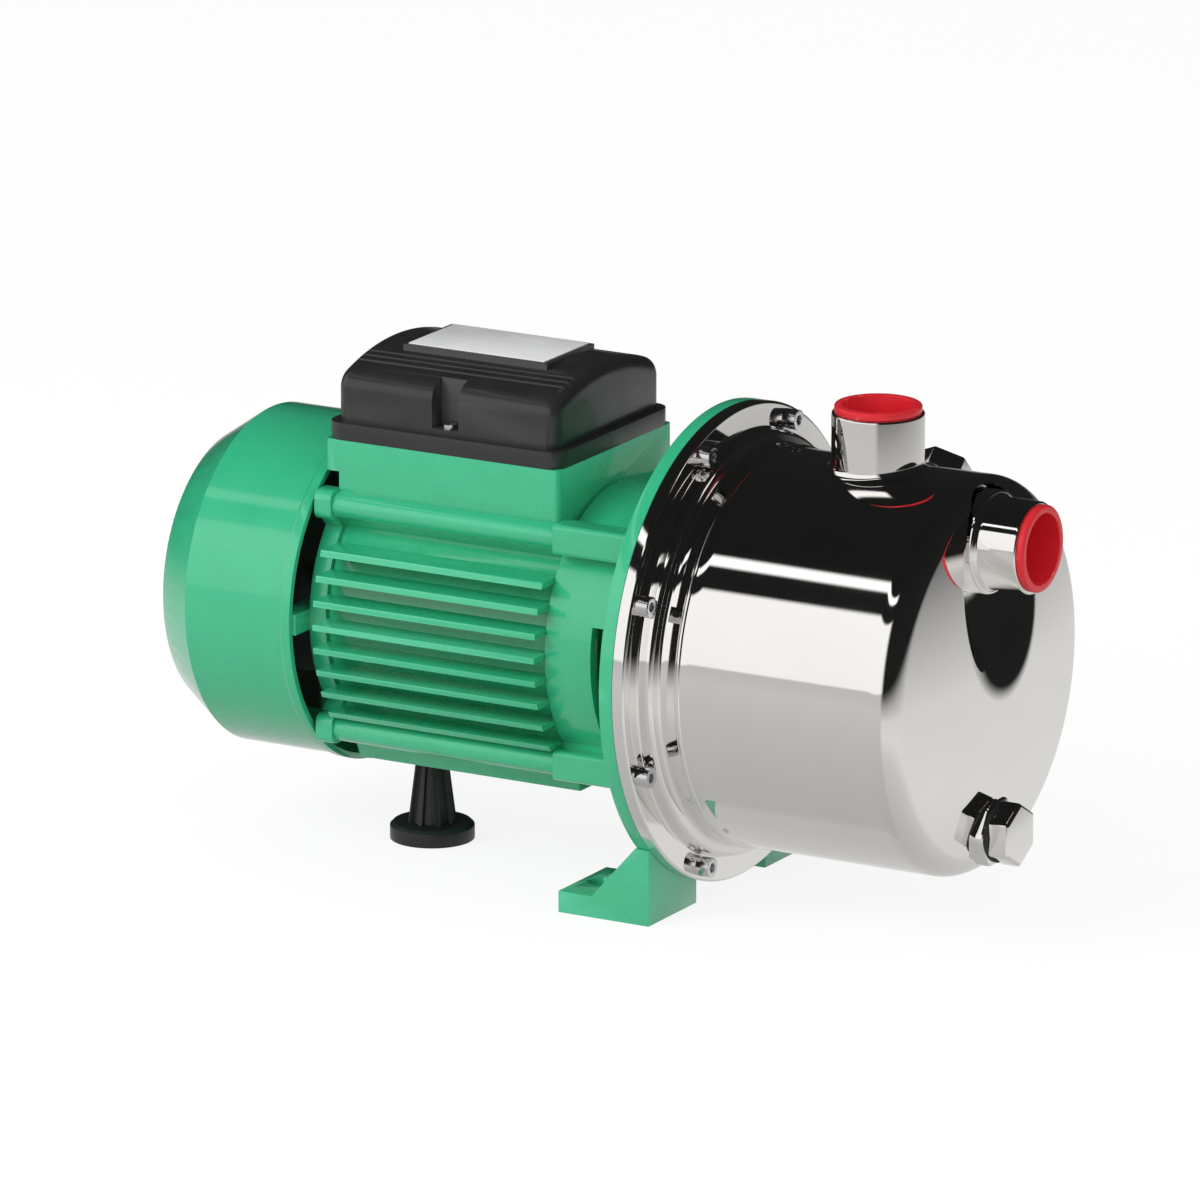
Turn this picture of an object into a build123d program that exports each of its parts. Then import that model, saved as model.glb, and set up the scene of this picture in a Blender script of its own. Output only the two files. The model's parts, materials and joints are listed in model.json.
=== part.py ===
"""Self-priming jet (centrifugal) water pump with a deep-drawn steel casing.

Millimetres, +Z up. The shaft runs along X and the suction port points to +X. The origin lies
on the surface that the feet stand on, midway between the two bolt holes of the front feet.
Unless a comment says otherwise, x is measured from the joint face and y and z from the shaft.
"""
import os
from math import asin, cos, pi, radians, sin

from build123d import *

# ---------------------------------------------------------------- driving dimensions
axis_height = 107.5      # shaft axis above the feet
joint_face = 36.0        # flange joint of casing and bracket, in front of the bolt holes
turn_gap = 0.5           # free gap beside anything that turns
seat_fit = 0.05          # radial clearance of a screw, plug or cap in its hole
overlap = 4.0            # how far a boss, neck or pad is sunk into what carries it

# steel casing
casing_radius = 84.6
casing_wall = 2.0
casing_length = 111.0    # straight wall, measured from the joint face
knuckle = 12.0           # radius between the wall and the domed front
dome_radius = 380.0      # sphere of the domed front
flange_screws = 8
first_screw_angle = 22.5
screw_offset = 11.4      # screw circle outside the wall
rim_width = 6.0          # screw circle to the flange's edge
rim_depth = 5.6          # axial depth of the casing's outer rim
rim_bevel = 1.0
step_width = 5.9         # raised inner ring of the flange, outside the wall
step_depth = 12.3
step_bevel = 3.0
bead_x = 22.7            # small ridge round the wall
bead_height = 0.9
bead_width = 2.0

# ports and their thread protectors
port_radius = 19.5       # outside of both necks
port_bore = 16.6
collar_radius = 22.0     # wider root of a neck
collar_rise = 1.5        # that root above the wall, on the discharge neck
collar_length = 12.0     # that root in front of the pocket's floor, on the suction neck
discharge_x = 69.3
discharge_reach = 23.4   # end of the neck outside the wall
suction_inset = 25.6     # suction axis inside the wall
suction_reach = 33.0     # end of the neck ahead of the straight wall
pocket_ahead = 2.0       # floor of the pocket ahead of the straight wall
pocket_radius = 23.5
pocket_mouth_half = 31.2
pocket_mouth_height = 41.9
pocket_drop = 21.4       # middle of the mouth below the suction axis
pocket_clear = 1.8       # mouth in front of the dome's crown
cap_flange_radius = 18.4
cap_flange = 3.2
cap_bore = 15.0
cap_depth = 16.0
cap_floor = 1.6
cap_bevel = 0.6

# socket head screws
screw_radius = 2.5
screw_head_radius = 4.3
screw_head_height = 6.0
screw_length = 11.0
socket_across = 4.0
socket_depth = 3.0
small_screw_radius = 1.5
small_socket_across = 2.0
small_socket_depth = 1.0
cover_head_radius = 2.8
cover_head_height = 1.8
lid_head_radius = 3.0
lid_head_height = 2.0
screw_tip_gap = 0.5      # free depth beyond a small screw's tip

# plugs
plug_across_flats = 24.0
plug_head = 9.0
plug_bevel = 1.0
plug_stem_radius = 6.5
plug_stem = 14.0
plug_washer_radius = 12.8
plug_washer = 1.6
boss_across_flats = 27.0
boss_height = 3.5
boss_root = 8.0          # drain boss behind its foot, so that it reaches the sloping dome
drain_inset = 19.1       # drain axis inside the wall
priming_x = 64.0
priming_angle = 45.0     # from the vertical, towards +Y

# cast bracket
disc_thickness = 6.0
drum_step = 4.0          # drum outside the motor frame
drum_length = 49.0
drum_wall = 6.0
hub_bore = 20.0
window_height = 50.0
window_width = 13.0
window_x = -26.5         # middle of the window
window_z = -10.0
foot_inner = 29.8
foot_outer = 70.5
foot_length = 43.6
foot_slab = 9.3
foot_rib = 14.4
foot_rib_inset = 12.0    # rib inside the foot's outer face
foot_heel = 15.0         # part of the slab behind the rib
foot_top = 74.5          # top of the cheek below the shaft
bolt_spacing = 100.0
bolt_hole_radius = 4.5

# motor frame
frame_length = 108.0
frame_radius = 58.0
frame_wall = 4.5
fin_height = 13.0
fin_pitch = 10.3
fin_thickness = 2.6
tie_reach = 11.3         # tie bolt circle outside the frame
tie_boss_radius = 5.6
tie_bolt_radius = 2.5
tie_head_radius = 4.0
tie_head = 3.5
tie_pad = 13.0
tie_blind = 14.0         # closed end of the tie bolt holes in the bracket
belly_half = 32.0        # flat belly pad
belly_drop = 8.0         # that pad below the frame
belly_flank = 26.0
shield_rim = 2.0         # end shield outside the frame
shield_thickness = 8.0
spigot_depth = 4.0
spigot_wall = 6.0

# terminal box
box_front_gap = 1.0
box_rear_overhang = 7.0
box_half = 48.3
box_rise = 18.7          # top of the pedestal above the frame
skirt_drop = 5.7         # bottom of the pedestal's side walls below the frame's top
pedestal_root = 30.0     # lowest part of the pedestal inside the frame
box_wall = 4.0
box_corner = 8.0
rim_height = 7.4
tray_floor = 2.4
lid_inset = 3.4
lid_side = 20.0          # height of the lid's side, before its shoulder is rounded
lid_shoulder = 9.0       # radius of that rounding
lid_arch = 9.0
lid_wall = 2.4
lid_end_round = 6.0
lid_notch_width = 12.8
lid_notch_depth = 8.0
lid_post_radius = 4.5
groove_radius = 0.9      # grooves along the lid, three on each side of the nameplate
groove_first = 24.0
groove_pitch = 4.2
label_length = 66.0
label_width = 38.0
label_pad = 1.2
label_pad_margin = 2.0
label_thickness = 0.5
gland_back = 25.0        # cable gland behind the middle of the box
gland_drop = 7.2         # cable gland below the pedestal's top
gland_radius = 5.0
gland_bore = 3.0
gland_nut = 16.0
lead_hole_radius = 8.0
lead_hole_back = 10.0    # lead hole behind the stator core
terminal_height = 14.0
capacitor_radius = 13.0
capacitor_length = 48.0

# fan cover
cover_gap = 2.2          # outside of the cover beyond the fins
cover_wall = 1.6
cover_clear = 1.5        # gap between the shield and the cover's edge
cover_straight = 52.2
cover_taper = 18.8
cover_draw = 12.7        # how much smaller the rear face is
cover_bead = 1.0
cover_slots = 24
cover_slot_width = 4.0
cover_slot_length = 26.0
cover_slot_inset = 19.5  # middle of the slots inside the rear face's edge
hub_slots = 12
hub_slot_length = 12.0
hub_slot_circle = 18.0
post_length = 10.0
post_width = 9.0
cover_screw_back = 4.0   # cover screws behind the cover's edge
cover_screw_grip = 3.0   # depth of their holes, outside the shield

# shaft line
shaft_radius = 7.5
shaft_step = 1.5         # shoulder above and tail below the bearing seats
impeller_seat_step = 1.0
thread_radius = 4.0
thread_length = 7.5
bearing_outer = 17.5
bearing_width = 11.0
bearing_inset = 9.0      # front bearing's middle inside the bracket
rear_bearing_inset = 5.0
bearing_pocket_wall = 5.0
ball_count = 8
ball_radius = 2.95
ball_fit = 0.05
race_gap = 1.9
cage_half = 4.0
cage_thickness = 1.6
rotor_radius = 29.0
air_gap = 0.5
core_length = 62.0
core_shift = 1.0         # core in front of the frame's middle
slots = 24
slot_depth = 12.0
slot_width = 4.0
winding_overhang = 14.0
winding_ring = 12.0
rotor_slots = 18
washer_gap = 1.5         # preload washer behind the rear bearing

# wet end
plate_thickness = 3.0
plate_fit = 0.4          # seal plate inside the casing's wall
o_ring_space = 3.6       # spigot inside the casing's wall
diffuser_inset = 4.0
diffuser_wall = 4.5
spigot_front = 9.0
seal_seat_radius = 13.0
seal_seat_rear = -4.5
seal_face = 3.5
rotary_end = 9.0
rotary_radius = 12.0
coil_radius = 10.5
coil_wire = 0.7
coil_pitch = 1.8
impeller_radius = 54.0
impeller_rear = 16.5
impeller_front = 26.5
impeller_hub = 11.0
shroud = 2.0
eye_radius = 19.0
blades = 6
nut_height = 6.0
nut_across_flats = 13.0
diffuser_front = 33.0
diffuser_plate = 3.0
return_holes = 10
return_circle = 50.0
return_radius = 6.0
ejector_gap = 11.0       # ejector in front of the diffuser
ejector_clear = 13.0     # ejector's front behind the end of the straight wall
ejector_radius = 18.0
throat_radius = 6.0
ejector_wall = 4.0
elbow_setback = 27.0     # elbow behind the end of the straight wall
elbow_radius = 12.0
elbow_bore = 9.0
nozzle_radius = 5.0

# rear foot
foot_forward = 16.5      # rear foot in front of the frame's rear face
foot_pad_radius = 18.2
foot_pad = 7.4
foot_cone_radius = 10.5
foot_stem_radius = 6.1
rib_thickness = 2.0
stud_radius = 3.0
stud_length = 6.0

# fan
fan_back = 49.5          # rear edge of the fan behind the cover's edge
fan_width = 20.0
fan_clear = 13.6         # blade tips inside the cover
fan_hub_radius = 12.0
fan_blades = 8
blade_thickness = 2.2

# ---------------------------------------------------------------- derived values and planes
FRONT = Plane((joint_face, 0, axis_height), x_dir=(0, 1, 0), z_dir=(1, 0, 0))
LENGTHWISE = Plane((joint_face, 0, axis_height), x_dir=(1, 0, 0), z_dir=(0, -1, 0))
screw_circle = casing_radius + screw_offset
flange_radius = screw_circle + rim_width
step_radius = casing_radius + step_width
inner_radius = casing_radius - casing_wall
dome_flat = casing_radius - knuckle
dome_lean = asin(dome_flat / (dome_radius - knuckle))
dome_centre = casing_length - (dome_radius - knuckle) * cos(dome_lean)
dome_x = casing_length + knuckle
pocket_x = casing_length + pocket_ahead
pocket_mouth_x = dome_centre + dome_radius + pocket_clear
discharge_top = casing_radius + discharge_reach
suction_z = casing_radius - suction_inset
suction_end = casing_length + suction_reach
pocket_mouth_z = suction_z - pocket_drop
drain_z = drain_inset - casing_radius
stator_radius = frame_radius - frame_wall
drum_radius = frame_radius + drum_step
fin_radius = frame_radius + fin_height
tie_offset = (frame_radius + tie_reach) * cos(pi / 4)
belly_z = -frame_radius - belly_drop
shield_radius = frame_radius + shield_rim
foot_rise = axis_height - foot_top
frame_front = -disc_thickness - drum_length
frame_rear = frame_front - frame_length
shield_rear = frame_rear - shield_thickness
foot_x = frame_rear + foot_forward
box_base_z = frame_radius + box_rise
box_skirt_z = frame_radius - skirt_drop
box_front = frame_front - box_front_gap
box_rear = frame_rear - box_rear_overhang
box_length = box_front - box_rear
lid_base_z = box_base_z + rim_height
lid_middle = (box_front + box_rear) / 2
crown = lid_base_z + lid_side + lid_arch
cover_radius = fin_radius + cover_gap
cover_front = shield_rear - cover_clear
cover_shoulder = cover_front - cover_straight
cover_rear = cover_shoulder - cover_taper
cover_rear_radius = cover_radius - cover_draw
cover_screw_tip = shield_radius + cover_screw_grip
post_rear = shield_rear - post_length
shaft_shoulder = shaft_radius + shaft_step
tail_radius = shaft_radius - shaft_step
impeller_seat_radius = shaft_radius - impeller_seat_step
ball_circle = (shaft_radius + bearing_outer) / 2
front_bearing_x = frame_front + bearing_inset
rear_bearing_x = shield_rear + rear_bearing_inset
bearing_half = bearing_width / 2
pocket_floor = rear_bearing_x - bearing_half - washer_gap
core_centre = (frame_front + frame_rear) / 2 + core_shift
core_rear = core_centre - core_length / 2
core_front = core_centre + core_length / 2
slot_inner = rotor_radius + air_gap + 1.5
fan_rear = cover_front - fan_back
fan_front = fan_rear + fan_width
fan_radius = cover_radius - cover_wall - fan_clear
tail_end = fan_rear - 2
thread_start = impeller_front + 4
thread_end = thread_start + thread_length
hub_start = impeller_rear - 1.5
plate_edge = inner_radius - plate_fit
spigot_outer = inner_radius - o_ring_space
diffuser_radius = spigot_outer - diffuser_inset
diffuser_bore = diffuser_radius - diffuser_wall
spigot_inner = diffuser_bore - turn_gap
ejector_rear = diffuser_front + ejector_gap
ejector_front = casing_length - ejector_clear
elbow_x = casing_length - elbow_setback
bolt_x = -joint_face
priming_up = Vector(0, sin(radians(priming_angle)), cos(radians(priming_angle)))


def across(x):
    """Plane across the shaft, facing the suction end."""
    return FRONT.offset(x)


def level(z):
    """Horizontal plane above the shaft axis."""
    return Plane.XY.offset(axis_height + z)


def place(x, y=0.0, z=0.0):
    """A point given from the joint face and the shaft axis."""
    return Vector(joint_face + x, y, axis_height + z)


def post(plane, radius, length, inner=0.0):
    """Round bar or tube that stands on a plane."""
    with BuildPart() as made:
        with BuildSketch(plane):
            Circle(radius)
            if inner:
                Circle(inner, mode=Mode.SUBTRACT)
        extrude(amount=length)
    return made.part


def ring(x0, x1, outer, inner=0.0):
    """Round bar or tube on the shaft axis between two planes."""
    return post(across(x0), outer, x1 - x0, inner)


def block(x0, x1, y0, y1, z0, z1):
    """Box between two corners."""
    with BuildPart() as made:
        with BuildSketch(level(z0)):
            with Locations((joint_face + (x0 + x1) / 2, (y0 + y1) / 2)):
                Rectangle(x1 - x0, y1 - y0)
        extrude(amount=z1 - z0)
    return made.part


def turned(points):
    """Solid of revolution about the shaft from (x, radius) corners."""
    with BuildPart() as made:
        with BuildSketch(LENGTHWISE):
            with BuildLine():
                Polyline(*points, close=True)
            make_face()
        revolve(axis=Axis(place(0), (1, 0, 0)))
    return made.part


def hexagon(plane, across_flats, length, turn=0.0):
    """Hexagonal bar that stands on a plane."""
    with BuildPart() as made:
        with BuildSketch(plane):
            RegularPolygon(across_flats / 2, 6, major_radius=False, rotation=turn)
        extrude(amount=length)
    return made.part


def cap_screw(plane, radius, head_radius, head, length, socket, depth):
    """Socket head screw whose head seats on the plane and points along its normal."""
    with BuildPart() as made:
        add(post(plane, head_radius, head))
        add(post(plane.offset(-length), radius, length))
        add(hexagon(plane.offset(head - depth), socket, depth), mode=Mode.SUBTRACT)
    return made.part


def corners():
    """The four tie bolt centres in a plane across the shaft."""
    return [(y, z) for y in (-tie_offset, tie_offset) for z in (-tie_offset, tie_offset)]


def shifted(x, y, z):
    """Plane across the shaft with its origin moved to a point."""
    return Plane(place(x, y, z), x_dir=(0, 1, 0), z_dir=(1, 0, 0))


def write(part, name):
    """Label a finished piece and export it."""
    part.label = name
    export_step(part, f"parts/{name}.step")


os.makedirs("parts", exist_ok=True)
priming_plane = Plane(place(priming_x) + priming_up * casing_radius, x_dir=(1, 0, 0), z_dir=priming_up)
drain_plane = shifted(dome_x + 1, 0, drain_z)
discharge_plane = Plane(place(discharge_x, 0, 0), x_dir=(1, 0, 0), z_dir=(0, 0, 1))
suction_plane = shifted(0, 0, suction_z)
screw_places = [
    shifted(rim_depth, screw_circle * cos(a), screw_circle * sin(a))
    for a in [radians(first_screw_angle + 360 / flange_screws * i) for i in range(flange_screws)]
]


# ---------------------------------------------------------------- pump casing
def casing_form(offset):
    """Filled form of the casing, drawn in by a wall thickness."""
    radius = casing_radius - offset
    bend = knuckle - offset
    sphere = dome_radius - offset
    half_way = (pi / 2 + dome_lean) / 2
    start = (casing_length, radius)
    middle = (casing_length + bend * cos(half_way), dome_flat + bend * sin(half_way))
    end = (casing_length + bend * cos(dome_lean), dome_flat + bend * sin(dome_lean))
    inward = (dome_centre + sphere * cos(dome_lean / 2), sphere * sin(dome_lean / 2))
    crown = (dome_centre + sphere, 0)
    with BuildPart() as made:
        with BuildSketch(LENGTHWISE):
            with BuildLine():
                Line((0, 0), (0, radius))
                Line((0, radius), start)
                ThreePointArc(start, middle, end)
                ThreePointArc(end, inward, crown)
                Line(crown, (0, 0))
            make_face()
        revolve(axis=Axis(place(0), (1, 0, 0)))
    return made.part


def pocket(offset):
    """Hollow pressed into the dome round the suction neck."""
    run = pocket_mouth_x - pocket_x
    with BuildPart() as made:
        with BuildSketch(across(pocket_x - offset)):
            with Locations((0, suction_z)):
                Ellipse(pocket_radius + offset, pocket_radius + offset)
        with BuildSketch(across(pocket_x + run)):
            with Locations((0, pocket_mouth_z)):
                Ellipse(pocket_mouth_half + offset, pocket_mouth_height + offset)
        loft()
    return made.part


def water_space():
    """Inner form of the casing, with the pocket standing into it."""
    with BuildPart() as made:
        add(casing_form(casing_wall))
        add(pocket(casing_wall), mode=Mode.SUBTRACT)
    return made.part


def flange_step(depth, radius, bevel):
    """Ring of the flange with a bevelled front corner."""
    return turned(
        [
            (0, dome_flat),
            (0, radius),
            (depth - bevel, radius),
            (depth, radius - bevel),
            (depth, dome_flat),
        ]
    )


neck_root = casing_radius - 2 * overlap
bore_start = casing_radius - 3 * overlap
with BuildPart() as casing:
    add(casing_form(0))
    add(pocket(0), mode=Mode.SUBTRACT)
    # flange: outer rim, raised inner ring and the small ridge further forward
    add(flange_step(rim_depth, flange_radius, rim_bevel))
    add(flange_step(step_depth, step_radius, step_bevel))
    add(
        turned(
            [
                (bead_x - bead_width, casing_radius - 1),
                (bead_x - bead_width, casing_radius + bead_height),
                (bead_x, casing_radius + bead_height),
                (bead_x + bead_height, casing_radius),
                (bead_x + bead_height, casing_radius - 1),
            ]
        )
    )
    # necks with their wider roots
    add(post(discharge_plane.offset(neck_root), port_radius, discharge_top - neck_root))
    add(post(discharge_plane.offset(neck_root), collar_radius, casing_radius + collar_rise - neck_root))
    add(post(suction_plane.offset(pocket_x - 1), port_radius, suction_end - pocket_x + 1))
    add(post(suction_plane.offset(pocket_x - 1), collar_radius, collar_length + 1))
    # hexagonal bosses that the plugs screw into
    add(hexagon(priming_plane.offset(-overlap), boss_across_flats, overlap + boss_height))
    add(hexagon(drain_plane.offset(-boss_root), boss_across_flats, boss_root + boss_height, turn=30))
    # water space, port bores and the holes of plugs and screws
    add(water_space(), mode=Mode.SUBTRACT)
    add(post(discharge_plane.offset(bore_start), port_bore, discharge_top - bore_start), mode=Mode.SUBTRACT)
    add(post(suction_plane.offset(elbow_x), port_bore, suction_end - elbow_x), mode=Mode.SUBTRACT)
    add(post(priming_plane.offset(-plug_stem), plug_stem_radius + seat_fit, 2 * plug_stem), mode=Mode.SUBTRACT)
    add(post(drain_plane.offset(-plug_stem), plug_stem_radius + seat_fit, 2 * plug_stem), mode=Mode.SUBTRACT)
    for screw_place in screw_places:
        add(post(screw_place.offset(-rim_depth), screw_radius + seat_fit, rim_depth), mode=Mode.SUBTRACT)
write(casing.part, "pump_casing")

with BuildPart() as flange_screw_set:
    for screw_place in screw_places:
        add(
            cap_screw(
                screw_place,
                screw_radius,
                screw_head_radius,
                screw_head_height,
                screw_length,
                socket_across,
                socket_depth,
            )
        )
write(flange_screw_set.part, "flange_screws")


# ---------------------------------------------------------------- plugs and port caps
def plug_piece(plane):
    """Hexagon head plug that seats on its washer."""
    with BuildPart() as made:
        add(hexagon(plane.offset(plug_washer), plug_across_flats, plug_head, turn=30))
        top = made.faces().sort_by(Axis(plane.origin, plane.z_dir))[-1]
        chamfer(top.edges(), plug_bevel)
        add(post(plane.offset(-plug_stem), plug_stem_radius, plug_stem + plug_washer))
    return made.part


def washer_piece(plane):
    """Flat sealing washer under a plug's head."""
    return post(plane, plug_washer_radius, plug_washer, plug_stem_radius + seat_fit)


def port_cap(plane):
    """Push-in plastic cup that protects a port's thread; the plane is the neck's end."""
    with BuildPart() as made:
        add(post(plane, cap_flange_radius, cap_flange))
        chamfer(made.faces().sort_by(Axis(plane.origin, plane.z_dir))[-1].edges(), cap_bevel)
        add(post(plane.offset(-cap_depth), port_bore - seat_fit, cap_depth))
        add(
            post(plane.offset(cap_floor - cap_depth), cap_bore, cap_depth - cap_floor + cap_flange),
            mode=Mode.SUBTRACT,
        )
    return made.part


plug_seats = {
    "drain": drain_plane.offset(boss_height),
    "priming": priming_plane.offset(boss_height),
}
for plug_name, seat in plug_seats.items():
    write(plug_piece(seat), f"{plug_name}_plug")
    write(washer_piece(seat), f"{plug_name}_plug_washer")
write(port_cap(discharge_plane.offset(discharge_top)), "discharge_port_cap")
write(port_cap(suction_plane.offset(suction_end)), "suction_port_cap")


# ---------------------------------------------------------------- cast bracket with its feet
def foot(side):
    """One cast foot: sole, rib and sloping cheek, on the left (-1) or right (+1)."""
    sole = -axis_height
    with BuildPart() as made:
        near, far = sorted((side * foot_inner, side * foot_outer))
        add(block(-foot_length, 0, near, far, sole, sole + foot_slab))
        near, far = sorted((side * foot_inner, side * (foot_outer - foot_rib_inset)))
        add(block(-foot_length + foot_heel, 0, near, far, sole, sole + foot_rib))
        # sloping cheek that carries the foot up to the disc
        with BuildSketch(LENGTHWISE.offset(-side * foot_outer)):
            with BuildLine():
                Polyline(
                    (-foot_length + foot_heel + 1, sole),
                    (-foot_length + foot_heel + 1, sole + foot_slab),
                    (-disc_thickness - 0.7, sole + foot_rise),
                    (0, sole + foot_rise),
                    (0, sole),
                    close=True,
                )
            make_face()
        extrude(amount=side * (foot_outer - foot_inner))
    return made.part


def lantern_window():
    """Opening through both sides of the drum."""
    return block(
        window_x - window_width / 2,
        window_x + window_width / 2,
        -drum_radius - overlap,
        drum_radius + overlap,
        window_z - window_height / 2,
        window_z + window_height / 2,
    )


with BuildPart() as bracket:
    add(ring(-disc_thickness, 0, flange_radius))
    add(ring(frame_front, -disc_thickness, drum_radius))
    for side in (-1, 1):
        add(foot(side))
    # square pads that take the tie bolts
    with BuildSketch(across(frame_front)):
        with Locations(*corners()):
            RectangleRounded(tie_pad, tie_pad, 2)
        with PolarLocations(drum_radius - 2, 4, start_angle=45):
            Rectangle(10, 9)
    extrude(amount=drum_length)
    # open lantern, bearing wall and pocket
    add(ring(frame_front + drum_wall, -disc_thickness, drum_radius - drum_wall), mode=Mode.SUBTRACT)
    add(ring(frame_front, front_bearing_x + bearing_half + 3, bearing_outer + bearing_pocket_wall))
    add(lantern_window(), mode=Mode.SUBTRACT)
    add(ring(-disc_thickness, 0, hub_bore), mode=Mode.SUBTRACT)
    add(ring(frame_front, front_bearing_x + bearing_half, bearing_outer + seat_fit), mode=Mode.SUBTRACT)
    add(ring(frame_front, 0, shaft_shoulder + 2), mode=Mode.SUBTRACT)
    # spigot that centres the motor frame
    add(ring(frame_front - spigot_depth, frame_front, stator_radius - seat_fit, stator_radius - spigot_wall))
    for screw_place in screw_places:
        add(
            post(screw_place.offset(-rim_depth - disc_thickness), screw_radius + seat_fit, disc_thickness),
            mode=Mode.SUBTRACT,
        )
    for y, z in corners():
        add(post(shifted(frame_front, y, z), tie_bolt_radius + seat_fit, drum_length - tie_blind), mode=Mode.SUBTRACT)
    for y in (-bolt_spacing / 2, bolt_spacing / 2):
        bolt_plane = Plane(place(bolt_x, y, -axis_height))
        add(post(bolt_plane, bolt_hole_radius, foot_rise), mode=Mode.SUBTRACT)
write(bracket.part, "front_bracket")


# ---------------------------------------------------------------- motor frame and end shield
def fin_set():
    """Cooling fins that run along the frame, trimmed to a round outline."""
    with BuildPart() as made:
        for i in range(-4, 4):
            middle = i * fin_pitch
            half = fin_thickness / 2
            add(block(frame_rear, frame_front, -fin_radius, fin_radius, middle - half, middle + half))
        add(ring(frame_rear, frame_front, fin_radius), mode=Mode.INTERSECT)
    return made.part


with BuildPart() as motor_frame:
    add(ring(frame_rear, frame_front, frame_radius))
    add(fin_set())
    with BuildSketch(across(frame_rear)):
        with Locations(*corners()):
            Circle(tie_boss_radius)
        with PolarLocations(frame_radius + 2, 4, start_angle=45):
            Rectangle(16, 8)
        # flat belly with bevelled flanks
        with BuildLine():
            Polyline(
                (-belly_half - 12, belly_z + belly_flank),
                (-belly_half, belly_z),
                (belly_half, belly_z),
                (belly_half + 12, belly_z + belly_flank),
                close=True,
            )
        make_face()
    extrude(amount=frame_length)
    # pedestal under the terminal box
    add(
        block(
            frame_rear, box_front, box_wall - box_half, box_half - box_wall, pedestal_root, box_skirt_z + 1
        )
    )
    with BuildSketch(level(box_skirt_z)):
        with Locations((joint_face + lid_middle, 0)):
            RectangleRounded(box_front - box_rear, 2 * box_half, 3)
    extrude(amount=box_base_z - box_skirt_z)
    add(
        block(box_rear, frame_rear, -box_half, box_half, box_skirt_z, shield_radius + 3),
        mode=Mode.SUBTRACT,
    )
    add(
        block(
            box_rear + box_wall,
            box_front - box_wall,
            box_wall - box_half,
            box_half - box_wall,
            frame_radius + 5,
            box_base_z,
        ),
        mode=Mode.SUBTRACT,
    )
    # bore, lead hole, gland hole, foot stud hole and tie bolt holes
    add(ring(frame_rear, frame_front, stator_radius), mode=Mode.SUBTRACT)
    lead_hole = Plane(place(core_rear - lead_hole_back, 0, stator_radius - 2))
    add(post(lead_hole, lead_hole_radius, box_rise), mode=Mode.SUBTRACT)
    gland_plane = Plane(
        place(lid_middle - gland_back, box_half, box_base_z - gland_drop), x_dir=(1, 0, 0), z_dir=(0, 1, 0)
    )
    add(post(gland_plane.offset(-box_wall - 1), gland_radius + seat_fit, box_wall + 2), mode=Mode.SUBTRACT)
    stud_plane = Plane(place(foot_x, 0, belly_z))
    add(post(stud_plane, stud_radius + seat_fit, stud_length + 1), mode=Mode.SUBTRACT)
    for y, z in corners():
        add(post(shifted(frame_rear, y, z), tie_bolt_radius + seat_fit, frame_length), mode=Mode.SUBTRACT)
write(motor_frame.part, "motor_frame")


def cover_posts():
    """Four posts behind the shield that the fan cover is pushed on to."""
    reach = cover_radius - cover_wall - seat_fit
    with BuildPart() as made:
        with BuildSketch(across(post_rear)):
            with PolarLocations(shield_radius, 4):
                Rectangle(2 * (reach - shield_radius) + 4, post_width)
        extrude(amount=shield_rear - post_rear)
        add(ring(post_rear, shield_rear, reach), mode=Mode.INTERSECT)
        for hole in cover_screw_planes():
            add(post(hole.offset(cover_screw_tip), small_screw_radius + seat_fit, 20), mode=Mode.SUBTRACT)
    return made.part


def cover_screw_planes():
    """Planes on the shaft axis that face the two cover screws."""
    centre = place(cover_front - cover_screw_back, 0, 0)
    return [Plane(centre, x_dir=(1, 0, 0), z_dir=(0, 0, side)) for side in (-1, 1)]


with BuildPart() as end_shield:
    add(ring(shield_rear, frame_rear, shield_radius))
    with BuildSketch(across(shield_rear)):
        with Locations(*corners()):
            RectangleRounded(tie_pad, tie_pad, 4)
        with PolarLocations(shield_radius - 1, 4, start_angle=45):
            Rectangle(12, 11)
    extrude(amount=shield_thickness)
    add(ring(pocket_floor - 3, frame_rear + spigot_depth + 1, bearing_outer + bearing_pocket_wall))
    add(ring(frame_rear, frame_rear + spigot_depth, stator_radius - seat_fit, stator_radius - spigot_wall))
    add(cover_posts())
    add(ring(pocket_floor, frame_rear + shield_thickness, bearing_outer + seat_fit), mode=Mode.SUBTRACT)
    add(ring(pocket_floor - 4, frame_rear + shield_thickness, shaft_radius + 2), mode=Mode.SUBTRACT)
    for y, z in corners():
        add(post(shifted(shield_rear, y, z), tie_bolt_radius + seat_fit, shield_thickness), mode=Mode.SUBTRACT)
        add(post(shifted(shield_rear, y, z), tie_head_radius + 0.3, tie_head), mode=Mode.SUBTRACT)
write(end_shield.part, "rear_end_shield")

with BuildPart() as tie_bolts:
    for y, z in corners():
        head_plane = Plane(place(shield_rear + tie_head, y, z), x_dir=(0, 1, 0), z_dir=(-1, 0, 0))
        add(
            cap_screw(
                head_plane,
                tie_bolt_radius,
                tie_head_radius,
                tie_head,
                shield_thickness - tie_head + frame_length + drum_length - tie_blind - 2,
                socket_across,
                2,
            )
        )
write(tie_bolts.part, "tie_bolts")


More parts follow.
